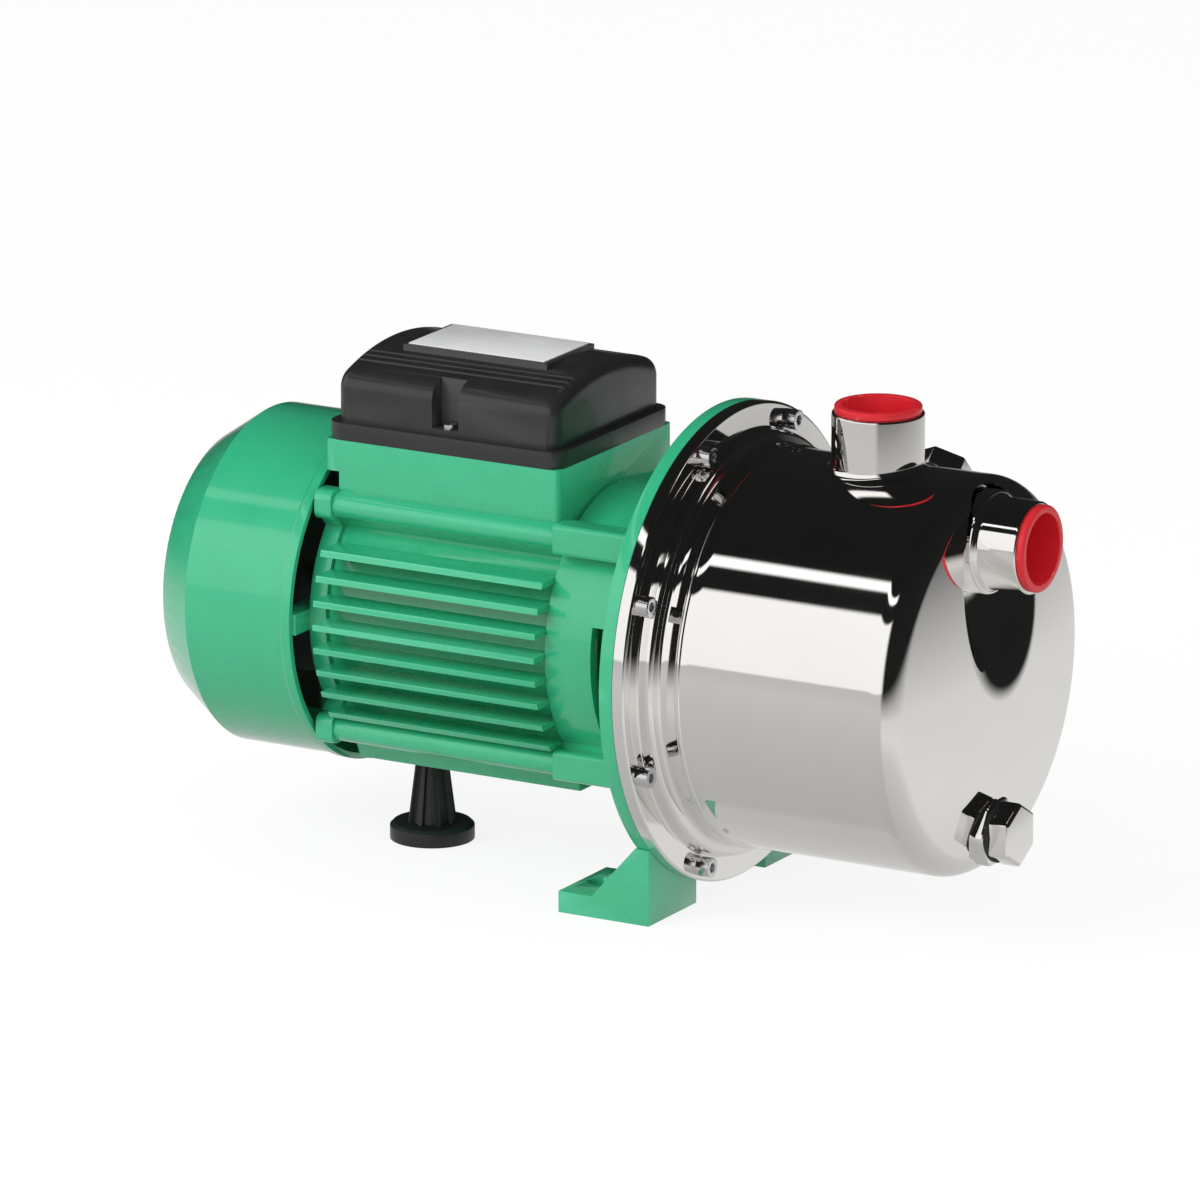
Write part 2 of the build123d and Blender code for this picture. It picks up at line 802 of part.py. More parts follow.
# ---------------------------------------------------------------- fan cover
with BuildPart() as fan_cover:
    add(
        turned(
            [
                (cover_front, 0),
                (cover_front, cover_radius + cover_bead),
                (cover_front - 4, cover_radius + cover_bead),
                (cover_front - 5.5, cover_radius),
                (cover_shoulder, cover_radius),
                (cover_rear, cover_rear_radius),
                (cover_rear, 0),
            ]
        )
    )
    add(
        turned(
            [
                (cover_front, 0),
                (cover_front, cover_radius - cover_wall),
                (cover_shoulder, cover_radius - cover_wall),
                (cover_rear + cover_wall, cover_rear_radius - cover_wall),
                (cover_rear + cover_wall, 0),
            ]
        ),
        mode=Mode.SUBTRACT,
    )
    # air slots in the rear face, in two rings
    with BuildSketch(across(cover_rear)):
        with PolarLocations(cover_rear_radius - cover_slot_inset, cover_slots):
            SlotOverall(cover_slot_length, cover_slot_width)
        with PolarLocations(hub_slot_circle, hub_slots):
            SlotOverall(hub_slot_length, cover_slot_width)
    extrude(amount=cover_wall, mode=Mode.SUBTRACT)
    for hole in cover_screw_planes():
        add(post(hole.offset(cover_screw_tip), small_screw_radius + seat_fit, 20), mode=Mode.SUBTRACT)
write(fan_cover.part, "fan_cover")

with BuildPart() as cover_screws:
    for centre_plane in cover_screw_planes():
        seat = centre_plane.offset(cover_radius + cover_bead)
        add(
            cap_screw(
                seat,
                small_screw_radius,
                cover_head_radius,
                cover_head_height,
                cover_radius + cover_bead - cover_screw_tip - screw_tip_gap,
                small_socket_across,
                small_socket_depth,
            )
        )
write(cover_screws.part, "fan_cover_screws")


# ---------------------------------------------------------------- rear foot
with BuildPart() as rear_foot:
    foot_plane = Plane(place(foot_x, 0, -axis_height))
    cone_height = axis_height + belly_z - foot_pad
    with BuildSketch(foot_plane):
        Circle(foot_pad_radius)
    extrude(amount=foot_pad)
    chamfer(rear_foot.edges().group_by(Axis.Z)[-1], 1.5)
    with BuildSketch(foot_plane.offset(foot_pad)):
        Circle(foot_cone_radius - 2)
    with BuildSketch(foot_plane.offset(axis_height + belly_z)):
        Circle(foot_stem_radius - 1.5)
    loft()
    # eight ribs down the cone
    for i in range(4):
        turn = radians(45 * i)
        rib_plane = Plane(
            place(foot_x, 0, foot_pad - axis_height),
            x_dir=(cos(turn), sin(turn), 0),
            z_dir=(sin(turn), -cos(turn), 0),
        )
        with BuildSketch(rib_plane.offset(-rib_thickness / 2)):
            with BuildLine():
                Polyline(
                    (-foot_cone_radius, 0),
                    (-foot_stem_radius, cone_height),
                    (foot_stem_radius, cone_height),
                    (foot_cone_radius, 0),
                    close=True,
                )
            make_face()
        extrude(amount=rib_thickness)
    add(post(foot_plane.offset(axis_height + belly_z), stud_radius, stud_length))
write(rear_foot.part, "rear_foot")


# ---------------------------------------------------------------- terminal box
def lid_form(offset):
    """Filled form of the lid, drawn in by a wall thickness."""
    half = box_half - lid_inset - offset
    end_inset = lid_inset + offset
    corner_z = lid_base_z + lid_side - offset
    with BuildPart() as made:
        with BuildSketch(across(box_rear + end_inset)) as outline:
            with BuildLine():
                Line((-half, lid_base_z), (-half, corner_z))
                ThreePointArc((-half, corner_z), (0, corner_z + lid_arch), (half, corner_z))
                Line((half, corner_z), (half, lid_base_z))
                Line((half, lid_base_z), (-half, lid_base_z))
            make_face()
            fillet(outline.vertices().group_by(Axis.Y)[-1], lid_shoulder - offset)
        extrude(amount=box_length - 2 * end_inset)
        for end in (0, -1):
            rims = made.faces().sort_by(Axis.X)[end].edges()
            fillet(rims.filter_by(lambda e: e.center().Z > axis_height + lid_base_z + 1), lid_end_round - offset)
    return made.part


def lid_notches(offset):
    """The two side notches of the lid, which give room to reach its screws."""
    half = box_half - lid_inset
    with BuildPart() as made:
        for side in (-1, 1):
            near, far = sorted((side * (half - lid_notch_depth - offset), side * (half + 5)))
            add(
                block(
                    lid_middle - lid_notch_width / 2 - offset,
                    lid_middle + lid_notch_width / 2 + offset,
                    near,
                    far,
                    lid_base_z + (0 if offset else lid_wall),
                    crown + label_pad,
                )
            )
    return made.part


def tray_outline(inset, z, height):
    """Rounded box with the terminal box's outline."""
    with BuildPart() as made:
        with BuildSketch(level(z)):
            with Locations((joint_face + lid_middle, 0)):
                RectangleRounded(box_length - 2 * inset, 2 * (box_half - inset), box_corner - inset / 2)
        extrude(amount=height)
    return made.part


def lid_screw_planes():
    """Seats of the two lid screws, on the floors of the notches."""
    across_half = box_half - lid_inset - lid_notch_depth / 2
    return [Plane(place(lid_middle, side * across_half, lid_base_z + lid_wall)) for side in (-1, 1)]


def lid_void():
    """Space under the lid, with the notch walls standing into it."""
    with BuildPart() as made:
        add(lid_form(lid_wall))
        add(lid_notches(lid_wall), mode=Mode.SUBTRACT)
    return made.part


def groove_centres():
    """Centres of the lid's grooves on its arched top, in a plane across the shaft."""
    half = box_half - lid_inset
    arch_radius = (half**2 + lid_arch**2) / (2 * lid_arch)
    offsets = [side * (groove_first + groove_pitch * i) for side in (-1, 1) for i in range(3)]
    return [(y, crown - arch_radius + (arch_radius**2 - y**2) ** 0.5) for y in offsets]


with BuildPart() as tray:
    add(tray_outline(0, box_base_z, rim_height))
    add(tray_outline(lid_inset + lid_wall, box_base_z + tray_floor, rim_height), mode=Mode.SUBTRACT)
    lead_way = Plane(place(core_rear - lead_hole_back, 0, box_base_z))
    add(post(lead_way, lead_hole_radius + 1, tray_floor), mode=Mode.SUBTRACT)
    for seat in lid_screw_planes():
        add(post(seat.offset(-lid_wall - rim_height), lid_post_radius, rim_height))
        hole = seat.offset(tray_floor - lid_wall - rim_height)
        add(post(hole, small_screw_radius + seat_fit, rim_height), mode=Mode.SUBTRACT)
write(tray.part, "terminal_tray")

with BuildPart() as lid:
    add(lid_form(0))
    add(lid_notches(0), mode=Mode.SUBTRACT)
    add(lid_void(), mode=Mode.SUBTRACT)
    # raised seat for the nameplate and three grooves on each side of it
    with BuildSketch(level(crown - overlap)):
        with Locations((joint_face + lid_middle, 0)):
            Rectangle(label_length + 2 * label_pad_margin, label_width + label_pad_margin)
    extrude(amount=overlap + label_pad)
    with BuildSketch(across(box_rear)):
        with Locations(*groove_centres()):
            Circle(groove_radius)
    extrude(amount=box_length, mode=Mode.SUBTRACT)
    for seat in lid_screw_planes():
        add(post(seat.offset(-lid_wall), small_screw_radius + seat_fit, lid_wall), mode=Mode.SUBTRACT)
write(lid.part, "terminal_lid")

with BuildPart() as nameplate:
    with BuildSketch(level(crown + label_pad)):
        with Locations((joint_face + lid_middle, 0)):
            Rectangle(label_length, label_width)
    extrude(amount=label_thickness)
write(nameplate.part, "nameplate")

with BuildPart() as lid_screws:
    for seat in lid_screw_planes():
        add(
            cap_screw(
                seat,
                small_screw_radius,
                lid_head_radius,
                lid_head_height,
                lid_wall + rim_height - tray_floor - screw_tip_gap,
                small_socket_across,
                small_socket_depth,
            )
        )
write(lid_screws.part, "lid_screws")

tray_top = box_base_z + tray_floor
with BuildPart() as terminal_block:
    add(block(lid_middle + 14, lid_middle + 44, -14, 14, tray_top, tray_top + terminal_height))
    for i in range(4):
        y = -10.5 + 7 * i
        add(post(Plane(place(lid_middle + 21, y, tray_top + terminal_height - 3)), 2, 3), mode=Mode.SUBTRACT)
        add(post(Plane(place(lid_middle + 37, y, tray_top + terminal_height - 3)), 2, 3), mode=Mode.SUBTRACT)
write(terminal_block.part, "terminal_block")

with BuildPart() as capacitor:
    can_rear = box_rear + 14
    can_end = can_rear + capacitor_length
    add(post(shifted(can_rear, -18, tray_top + capacitor_radius), capacitor_radius, capacitor_length))
    add(block(can_rear + 5, can_end - 5, -24, -12, tray_top, tray_top + 4))
write(capacitor.part, "capacitor")

with BuildPart() as gland:
    add(hexagon(gland_plane, gland_nut, 5))
    add(post(gland_plane, gland_radius + 2, 13))
    fillet(gland.faces().sort_by(Axis.Y)[-1].edges(), 2)
    add(post(gland_plane.offset(-box_wall), gland_radius, box_wall))
    add(post(gland_plane.offset(-box_wall), gland_bore, box_wall + 13), mode=Mode.SUBTRACT)
write(gland.part, "cable_gland")


# ---------------------------------------------------------------- stator
with BuildPart() as stator:
    add(ring(core_rear, core_front, stator_radius, rotor_radius + air_gap))
    with BuildSketch(across(core_rear)):
        with PolarLocations(slot_inner + slot_depth / 2, slots):
            Rectangle(slot_depth, slot_width)
        with PolarLocations(slot_inner - 1, slots):
            Rectangle(3, 2)
    extrude(amount=core_length, mode=Mode.SUBTRACT)
write(stator.part, "stator_core")

with BuildPart() as windings:
    with BuildSketch(across(core_rear - winding_ring)):
        with PolarLocations(slot_inner + slot_depth / 2, slots):
            Rectangle(slot_depth - 1, slot_width - 0.6)
    extrude(amount=core_length + 2 * winding_ring)
    for x in (core_rear - winding_overhang, core_front + winding_overhang - winding_ring):
        add(ring(x, x + winding_ring, slot_inner + slot_depth + 2, slot_inner))
    fillet(windings.edges().filter_by(GeomType.CIRCLE).group_by(Axis.X)[0], 3)
    fillet(windings.edges().filter_by(GeomType.CIRCLE).group_by(Axis.X)[-1], 3)
write(windings.part, "stator_windings")


# ---------------------------------------------------------------- bearings
def race(x, inner, outer):
    """Ring of a bearing with the ball groove cut in it."""
    with BuildPart() as made:
        add(ring(x - bearing_half, x + bearing_half, outer, inner))
        with BuildSketch(LENGTHWISE):
            with Locations((x, ball_circle)):
                Circle(ball_radius + ball_fit)
        revolve(axis=Axis(place(0), (1, 0, 0)), mode=Mode.SUBTRACT)
    return made.part


def ball_places(x):
    """Centres of the balls of one bearing."""
    angles = [2 * pi / ball_count * i for i in range(ball_count)]
    return [place(x, ball_circle * cos(a), ball_circle * sin(a)) for a in angles]


def ball_set(x):
    """Balls of one bearing."""
    with BuildPart() as made:
        with Locations(*ball_places(x)):
            Sphere(ball_radius)
    return made.part


def cage(x):
    """Ring that keeps the balls apart."""
    with BuildPart() as made:
        half = cage_thickness / 2
        add(ring(x - cage_half, x + cage_half, ball_circle + half, ball_circle - half))
        with Locations(*ball_places(x)):
            Sphere(ball_radius + ball_fit, mode=Mode.SUBTRACT)
    return made.part


for bearing_name, x in (("front", front_bearing_x), ("rear", rear_bearing_x)):
    write(race(x, shaft_radius, ball_circle - race_gap), f"{bearing_name}_bearing_inner_ring")
    write(race(x, ball_circle + race_gap, bearing_outer), f"{bearing_name}_bearing_outer_ring")
    write(ball_set(x), f"{bearing_name}_bearing_balls")
    write(cage(x), f"{bearing_name}_bearing_cage")

with BuildPart() as wave_washer:
    add(ring(pocket_floor, pocket_floor + washer_gap, bearing_outer - 0.2, bearing_outer - 3.5))
write(wave_washer.part, "preload_washer")


# ---------------------------------------------------------------- rotor, fan and impeller
inner_front = front_bearing_x - bearing_half
inner_rear = rear_bearing_x + bearing_half
with BuildPart() as shaft:
    add(
        turned(
            [
                (tail_end, 0),
                (tail_end, tail_radius - 0.5),
                (tail_end + 0.5, tail_radius),
                (pocket_floor - 4, tail_radius),
                (pocket_floor - 4, shaft_radius),
                (inner_rear, shaft_radius),
                (inner_rear, shaft_shoulder),
                (inner_front, shaft_shoulder),
                (inner_front, shaft_radius),
                (hub_start, shaft_radius),
                (hub_start, impeller_seat_radius),
                (thread_start, impeller_seat_radius),
                (thread_start, thread_radius),
                (thread_end, thread_radius),
                (thread_end, 0),
            ]
        )
    )
write(shaft.part, "shaft")

with BuildPart() as rotor_core:
    add(ring(core_rear, core_front, rotor_radius, shaft_shoulder))
    for x in (core_rear - 6, core_front):
        add(ring(x, x + 6, rotor_radius - 2, rotor_radius - 10))
    with BuildSketch(across(core_rear)):
        with PolarLocations(rotor_radius, rotor_slots):
            Rectangle(1.6, 1.2)
    extrude(amount=core_length, mode=Mode.SUBTRACT)
write(rotor_core.part, "rotor_core")

with BuildPart() as fan:
    add(ring(fan_rear, fan_front, fan_hub_radius, tail_radius))
    add(ring(fan_front - 2, fan_front, fan_radius - 18, tail_radius))
    with BuildSketch(across(fan_rear)):
        with PolarLocations((fan_radius + fan_hub_radius) / 2 - 0.5, fan_blades):
            Rectangle(fan_radius - fan_hub_radius + 1, blade_thickness)
    extrude(amount=fan_front - fan_rear)
write(fan.part, "fan")

with BuildPart() as slinger:
    add(ring(-26, -23, 15, shaft_radius))
    add(ring(-23, -20, 10.5, shaft_radius))
write(slinger.part, "slinger")

with BuildPart() as impeller:
    add(ring(impeller_rear, impeller_rear + shroud, impeller_radius, impeller_seat_radius))
    add(ring(hub_start, thread_start - 0.5, impeller_hub, impeller_seat_radius))
    add(ring(impeller_front - shroud, impeller_front, impeller_radius, eye_radius - shroud))
    add(ring(impeller_front, impeller_front + 5, eye_radius, eye_radius - shroud))
    with BuildSketch(across(impeller_rear + shroud)):
        for i in range(blades):
            a = 2 * pi / blades * i
            with BuildLine():
                root = (15 * cos(a), 15 * sin(a))
                middle = (36 * cos(a - 0.35), 36 * sin(a - 0.35))
                tip = ((impeller_radius - 1) * cos(a - 0.95), (impeller_radius - 1) * sin(a - 0.95))
                blade_line = ThreePointArc(root, middle, tip)
            trace(blade_line, line_width=2.0)
    extrude(amount=impeller_front - impeller_rear - 2 * shroud)
write(impeller.part, "impeller")

with BuildPart() as impeller_nut:
    add(hexagon(across(thread_start), nut_across_flats, nut_height))
    add(ring(thread_start, thread_start + nut_height, thread_radius), mode=Mode.SUBTRACT)
write(impeller_nut.part, "impeller_nut")


# ---------------------------------------------------------------- shaft seal and seal plate
with BuildPart() as seal_plate:
    add(ring(0, plate_thickness, plate_edge))
    add(ring(plate_thickness, spigot_front, spigot_outer, spigot_inner))
    add(ring(-disc_thickness, plate_thickness, seal_seat_radius + 4))
    add(ring(seal_seat_rear, plate_thickness, seal_seat_radius), mode=Mode.SUBTRACT)
    add(ring(-disc_thickness, 0, shaft_radius + 2), mode=Mode.SUBTRACT)
write(seal_plate.part, "seal_plate")

write(ring(seal_seat_rear, seal_face, seal_seat_radius, shaft_radius + 1.5), "seal_seat")
write(ring(seal_face, rotary_end, rotary_radius, shaft_radius), "rotary_seal")

with BuildPart() as seal_spring:
    coil_length = hub_start - rotary_end - 2 * coil_wire
    coil_start = place(rotary_end + coil_wire)
    with BuildLine():
        coil = Helix(coil_pitch, coil_length, coil_radius, center=coil_start, direction=(1, 0, 0))
    with BuildSketch(Plane(coil @ 0, z_dir=coil % 0)):
        Circle(coil_wire)
    sweep(is_frenet=True)
write(seal_spring.part, "seal_spring")

with BuildPart() as o_ring:
    section = (plate_edge - spigot_outer) / 2 + 0.2
    with BuildSketch(LENGTHWISE):
        with Locations((plate_thickness + section, spigot_outer + section)):
            Circle(section)
    revolve(axis=Axis(place(0), (1, 0, 0)))
write(o_ring.part, "casing_o_ring")


# ---------------------------------------------------------------- diffuser and jet
with BuildPart() as diffuser:
    plate_front = diffuser_front + diffuser_plate
    add(ring(spigot_front, diffuser_front, diffuser_radius, diffuser_bore))
    add(ring(diffuser_front, plate_front, diffuser_radius, eye_radius + turn_gap))
    add(ring(plate_front, ejector_rear, eye_radius + 5, ejector_radius - ejector_wall))
    add(ring(impeller_front + 1, diffuser_front, eye_radius + 4, eye_radius + turn_gap))
    with BuildSketch(across(diffuser_front)):
        with PolarLocations(return_circle, return_holes):
            Circle(return_radius)
    extrude(amount=diffuser_plate, mode=Mode.SUBTRACT)
write(diffuser.part, "diffuser")

elbow_plane = Plane(place(elbow_x, 0, 0))
chamber_rear = elbow_x - elbow_radius + 2
throat_end = chamber_rear - 6
throat_start = throat_end - 6
with BuildPart() as ejector:
    add(
        turned(
            [
                (ejector_rear, 0),
                (ejector_rear, ejector_radius),
                (ejector_rear + 6, ejector_radius),
                (throat_start, throat_radius + ejector_wall),
                (throat_end, throat_radius + ejector_wall),
                (chamber_rear, ejector_radius),
                (ejector_front, ejector_radius),
                (ejector_front, 0),
            ]
        )
    )
    add(post(elbow_plane, elbow_radius, suction_z))
    add(post(suction_plane.offset(elbow_x), port_bore + 1.5, pocket_x - casing_wall - elbow_x))
    add(post(suction_plane.offset(elbow_x - elbow_radius - 1), elbow_radius + 1, elbow_radius + 1))
    add(
        turned(
            [
                (ejector_rear, 0),
                (ejector_rear, ejector_radius - ejector_wall),
                (throat_start, throat_radius),
                (throat_end, throat_radius),
                (chamber_rear, ejector_radius - ejector_wall),
                (ejector_front - ejector_wall, ejector_radius - ejector_wall),
                (ejector_front - ejector_wall, nozzle_radius + seat_fit),
                (ejector_front, nozzle_radius + seat_fit),
                (ejector_front, 0),
            ]
        ),
        mode=Mode.SUBTRACT,
    )
    add(post(elbow_plane, elbow_bore, suction_z), mode=Mode.SUBTRACT)
    add(post(suction_plane.offset(elbow_x), port_bore - 2, 30), mode=Mode.SUBTRACT)
    add(post(suction_plane.offset(elbow_x - elbow_bore), elbow_bore + 1, 12), mode=Mode.SUBTRACT)
write(ejector.part, "ejector_body")

with BuildPart() as nozzle:
    add(
        turned(
            [
                (ejector_front + 2, 2.6),
                (ejector_front + 2, 8),
                (ejector_front, 8),
                (ejector_front, nozzle_radius),
                (ejector_front - 6, nozzle_radius),
                (chamber_rear, 3.4),
                (chamber_rear, 2.0),
            ]
        )
    )
write(nozzle.part, "jet_nozzle")
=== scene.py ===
"""Looks of the jet pump: metres, in the frame of the CAD parts, lit like a plain studio picture."""
import json
from math import asin, cos, pi, radians, sin, sqrt

import bmesh
import bpy
from mathutils import Matrix, Vector


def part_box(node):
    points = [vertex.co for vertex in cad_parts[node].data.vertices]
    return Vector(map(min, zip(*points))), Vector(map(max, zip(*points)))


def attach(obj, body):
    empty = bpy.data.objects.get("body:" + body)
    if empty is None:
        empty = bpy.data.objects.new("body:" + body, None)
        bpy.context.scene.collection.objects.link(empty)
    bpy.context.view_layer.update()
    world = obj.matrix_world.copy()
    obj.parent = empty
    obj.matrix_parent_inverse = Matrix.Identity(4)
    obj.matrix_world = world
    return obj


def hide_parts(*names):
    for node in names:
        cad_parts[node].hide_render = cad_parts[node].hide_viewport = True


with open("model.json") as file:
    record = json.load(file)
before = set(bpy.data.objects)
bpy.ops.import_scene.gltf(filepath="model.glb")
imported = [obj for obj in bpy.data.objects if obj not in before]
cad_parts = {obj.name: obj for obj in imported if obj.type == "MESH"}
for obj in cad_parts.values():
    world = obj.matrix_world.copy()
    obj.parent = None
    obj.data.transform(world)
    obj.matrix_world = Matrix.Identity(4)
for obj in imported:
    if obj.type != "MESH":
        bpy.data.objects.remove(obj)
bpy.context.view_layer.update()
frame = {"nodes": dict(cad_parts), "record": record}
nodes = frame["nodes"]
MM = 0.001

# ---------------------------------------------------------------- places: three taken over from the CAD, the rest given
# In millimetres. joint_x and axis_z place the joint face and the shaft axis in the frame; every
# other x is measured from the joint face, and every other y and z from the shaft axis.
casing_low, casing_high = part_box("pump_casing")
screws_low, screws_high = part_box("flange_screws")
joint_x = casing_low.x / MM
axis_z = (screws_low.z + screws_high.z) / 2 / MM
flange_radius = (casing_high.y - casing_low.y) / 2 / MM
flange_opening = 84
casing_radius = 84.6
casing_length = 111.0
knuckle = 12.0
dome_radius = 380.0
rim_depth = 5.6
step_radius = 90.5
step_depth = 12.3
bead_x = 22.7
port_radius = 19.5
port_bore = 16.6
collar_radius = 22.0
discharge_x = 69.3
discharge_top = 108.0
suction_z = 59.0
suction_end = 144.0
# The pocket around the front port is round at its floor, pocket_x. Over pocket_run, towards its
# mouth, it grows wider and taller and its middle drops. pocket_easing is a power, and
# pocket_overrun counts runs: neither has a unit.
pocket_x = 113.0
pocket_run = 19.2
pocket_radius = 23.5
pocket_wider = 7.7
pocket_taller = 18.4
pocket_drop = 21.4
pocket_easing = 1.35
pocket_overrun = 2.5
pocket_rim = 5.0
boss_across = 27
boss_height = 3.48
drain_x = 124
drain_z = -65.5
priming_x = 64


def point(x, y=0.0, z=0.0):
    """A place in metres, given in millimetres from the joint face and the shaft axis."""
    return Vector(((joint_x + x) * MM, y * MM, (axis_z + z) * MM))


# ---------------------------------------------------------------- materials
def socket(node, **values):
    """Set inputs of a node by name, with underscores for spaces."""
    for name, value in values.items():
        node.inputs[name.replace("_", " ")].default_value = value


def noise(tree, scale, detail=3.0, stretch=(1, 1, 1)):
    """Noise over the object's own coordinates; returns its value output."""
    place = tree.nodes.new("ShaderNodeTexCoord")
    mapping = tree.nodes.new("ShaderNodeMapping")
    mapping.inputs["Scale"].default_value = stretch
    texture = tree.nodes.new("ShaderNodeTexNoise")
    socket(texture, Scale=scale, Detail=detail)
    tree.links.new(place.outputs["Object"], mapping.inputs["Vector"])
    tree.links.new(mapping.outputs["Vector"], texture.inputs["Vector"])
    return texture.outputs["Fac"]


def spread(tree, value, low, high, start=0.3, end=0.7):
    """Map a noise value to a range."""
    node = tree.nodes.new("ShaderNodeMapRange")
    socket(node, From_Min=start, From_Max=end, To_Min=low, To_Max=high)
    tree.links.new(value, node.inputs["Value"])
    return node.outputs["Result"]


def blend_colours(tree, factor, first, second):
    """Mix two colours by a factor output."""
    node = tree.nodes.new("ShaderNodeMix")
    node.data_type = "RGBA"
    node.inputs["A"].default_value = (*first, 1)
    node.inputs["B"].default_value = (*second, 1)
    tree.links.new(factor, node.inputs["Factor"])
    return node


def bump(tree, shader, heights, distance):
    """Chain of bumps from (value, strength) pairs."""
    last = None
    for value, strength in heights:
        node = tree.nodes.new("ShaderNodeBump")
        socket(node, Strength=strength, Distance=distance)
        tree.links.new(value, node.inputs["Height"])
        if last:
            tree.links.new(last.outputs["Normal"], node.inputs["Normal"])
        last = node
    tree.links.new(last.outputs["Normal"], shader.inputs["Normal"])


def surface(
    name,
    colour,
    rough=(0.3, 0.4),
    metal=0.0,
    coat=0.0,
    tone=0.08,
    tone_scale=60,
    grain=900,
    grain_depth=0.05,
    stretch=(1, 1, 1),
    edge_highlight=None,
):
    """Finish with uneven tone and roughness, a fine grain, and, where asked, a painted highlight: paler
    colour along convex edges.
    """
    made = bpy.data.materials.new(name)
    made.use_nodes = True
    tree = made.node_tree
    shader = tree.nodes["Principled BSDF"]
    socket(shader, Metallic=metal, Coat_Weight=coat, Coat_Roughness=0.04)
    broad = noise(tree, tone_scale, 4, stretch)
    fine = noise(tree, grain, 2, stretch)
    darker = tuple(c * (1 - tone) for c in colour)
    lighter = tuple(min(1.0, c * (1 + tone)) for c in colour)
    tint = blend_colours(tree, spread(tree, broad, 0, 1), darker, lighter)
    result = tint.outputs["Result"]
    # painted highlight: convex edges, found by pointiness, take the paler colour
    if edge_highlight:
        edges = tree.nodes.new("ShaderNodeNewGeometry")
        share = spread(tree, edges.outputs["Pointiness"], 0, 0.7, 0.53, 0.6)
        edge_lit = blend_colours(tree, share, colour, edge_highlight)
        tree.links.new(result, edge_lit.inputs["A"])
        result = edge_lit.outputs["Result"]
    tree.links.new(result, shader.inputs["Base Color"])
    tree.links.new(spread(tree, broad, *rough), shader.inputs["Roughness"])
    relief = 0.0004
    bump(tree, shader, [(fine, grain_depth), (broad, grain_depth * 0.6)], relief)
    return made


GREEN = (0.034, 0.475, 0.236)
# the paler edge colours given below are painted highlights along convex edges
finishes = {
    "green_paint": surface(
        "green_paint",
        GREEN,
        (0.24, 0.32),
        coat=0.9,
        tone=0.035,
        grain=500,
        grain_depth=0.025,
        edge_highlight=(0.09, 0.6, 0.35),
    ),
    "green_plastic": surface(
        "green_plastic",
        GREEN,
        (0.2, 0.28),
        coat=1.0,
        tone=0.025,
        grain=900,
        grain_depth=0.008,
    ),
    "polished_steel": surface(
        "polished_steel",
        (0.88, 0.865, 0.845),
        (0.03, 0.055),
        metal=1,
        tone=0.015,
        tone_scale=25,
        grain=120,
        grain_depth=0.0025,
    ),
    "screw_steel": surface("screw_steel", (0.7, 0.7, 0.71), (0.12, 0.22), metal=1, tone=0.08, grain=1500),
    "pressed_steel": surface("pressed_steel", (0.6, 0.6, 0.6), (0.25, 0.4), metal=1),
    "black_rubber": surface(
        "black_rubber",
        (0.016, 0.016, 0.017),
        (0.36, 0.5),
        tone=0.15,
        grain=1600,
        edge_highlight=(0.05, 0.05, 0.05),
    ),
    "black_plastic": surface(
        "black_plastic",
        (0.021, 0.021, 0.021),
        (0.3, 0.38),
        coat=0.25,
        tone=0.1,
        grain=2200,
        grain_depth=0.06,
        edge_highlight=(0.05, 0.05, 0.05),
    ),
    "label": surface(
        "label",
        (0.87, 0.88, 0.89),
        (0.22, 0.34),
        coat=0.3,
        tone=0.015,
        grain=300,
        grain_depth=0.02,
    ),
    "capacitor_can": surface("capacitor_can", (0.75, 0.75, 0.74), (0.3, 0.45)),
    "red_plastic": surface(
        "red_plastic",
        (0.7, 0.016, 0.027),
        (0.26, 0.36),
        tone=0.06,
        grain=1200,
        grain_depth=0.04,
        edge_highlight=(0.8, 0.1, 0.1),
    ),
    "seal_rubber": surface("seal_rubber", (0.03, 0.03, 0.03), (0.5, 0.65), tone=0.2),
    "ceramic": surface("ceramic", (0.85, 0.82, 0.76), (0.15, 0.25), tone=0.03),
    "carbon": surface("carbon", (0.05, 0.05, 0.055), (0.3, 0.4)),
    "lamination": surface(
        "lamination",
        (0.35, 0.35, 0.37),
        (0.3, 0.45),
        metal=1,
        grain=900,
        grain_depth=0.3,
        stretch=(8, 0.2, 0.2),
    ),
    "copper_winding": surface(
        "copper_winding",
        (0.6, 0.22, 0.08),
        (0.25, 0.4),
        metal=0.6,
        grain=900,
        grain_depth=0.5,
    ),
    "ground_steel": surface(
        "ground_steel", (0.66, 0.66, 0.67), (0.12, 0.22), metal=1, grain=900, stretch=(6, 0.5, 0.5)
    ),
    "bearing_steel": surface("bearing_steel", (0.7, 0.7, 0.71), (0.08, 0.16), metal=1),
    "cage_plastic": surface("cage_plastic", (0.3, 0.28, 0.22), (0.4, 0.5)),
    "fan_plastic": surface("fan_plastic", (0.06, 0.06, 0.06), (0.4, 0.55)),
    "impeller_brass": surface(
        "impeller_brass",
        (0.72, 0.55, 0.25),
        (0.2, 0.4),
        metal=1,
        grain=800,
        grain_depth=0.2,
    ),
    "jet_plastic": surface("jet_plastic", (0.12, 0.12, 0.13), (0.35, 0.5)),
}


